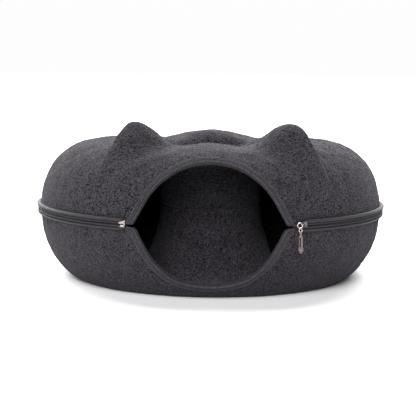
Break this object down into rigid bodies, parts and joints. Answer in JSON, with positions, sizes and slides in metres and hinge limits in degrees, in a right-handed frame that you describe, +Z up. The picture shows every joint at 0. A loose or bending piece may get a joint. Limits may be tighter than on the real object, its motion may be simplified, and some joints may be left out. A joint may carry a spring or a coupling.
{
  "type": "felt cat cave",
  "caption": "Round cat cave of charcoal felt: a moulded ring tunnel with an arched front entrance, a centre hole, ears and a zip round its outside.",
  "frame": {"origin": "on the ground under the middle of the part's outline; the ring's own axis stands 10.5 mm behind it", "axes": "+Z up, -Y towards the front with the entrance, +X to the right as seen from the front"},
  "size_m": [0.5028, 0.4803, 0.226],
  "materials": {
    "felt_upper": "matt charcoal heather felt",
    "felt_lower": "matt charcoal heather felt",
    "edge_strip_upper": "matt charcoal knit with stitching",
    "edge_strip_lower": "matt charcoal knit with stitching",
    "zip_tape_upper": "woven grey tape, slight sheen",
    "zip_tape_lower": "woven grey tape, slight sheen",
    "zip_chain": "dark closed coil under its tape",
    "slider_metal": "plated, warm nickel colour, polished",
    "ring_metal": "plated, warm nickel colour, polished",
    "link_metal": "plated, warm nickel colour, polished",
    "pull_metal": "plated, warm nickel colour, polished",
    "end_metal": "plated, warm nickel colour, polished"
  },
  "bodies": {
    "root": {"upper_shell": "felt_upper", "lower_shell": "felt_lower", "entrance_binding_upper": "edge_strip_upper", "entrance_binding_lower": "edge_strip_lower", "zip_welt_upper": "zip_tape_upper", "zip_welt_lower": "zip_tape_lower", "zip_chain": "zip_chain", "zip_slider": "slider_metal", "zip_pull_ring": "ring_metal", "zip_pull_link": "link_metal", "zip_pull": "pull_metal", "zip_end_stop": "end_metal"}
  },
  "joints": []
}
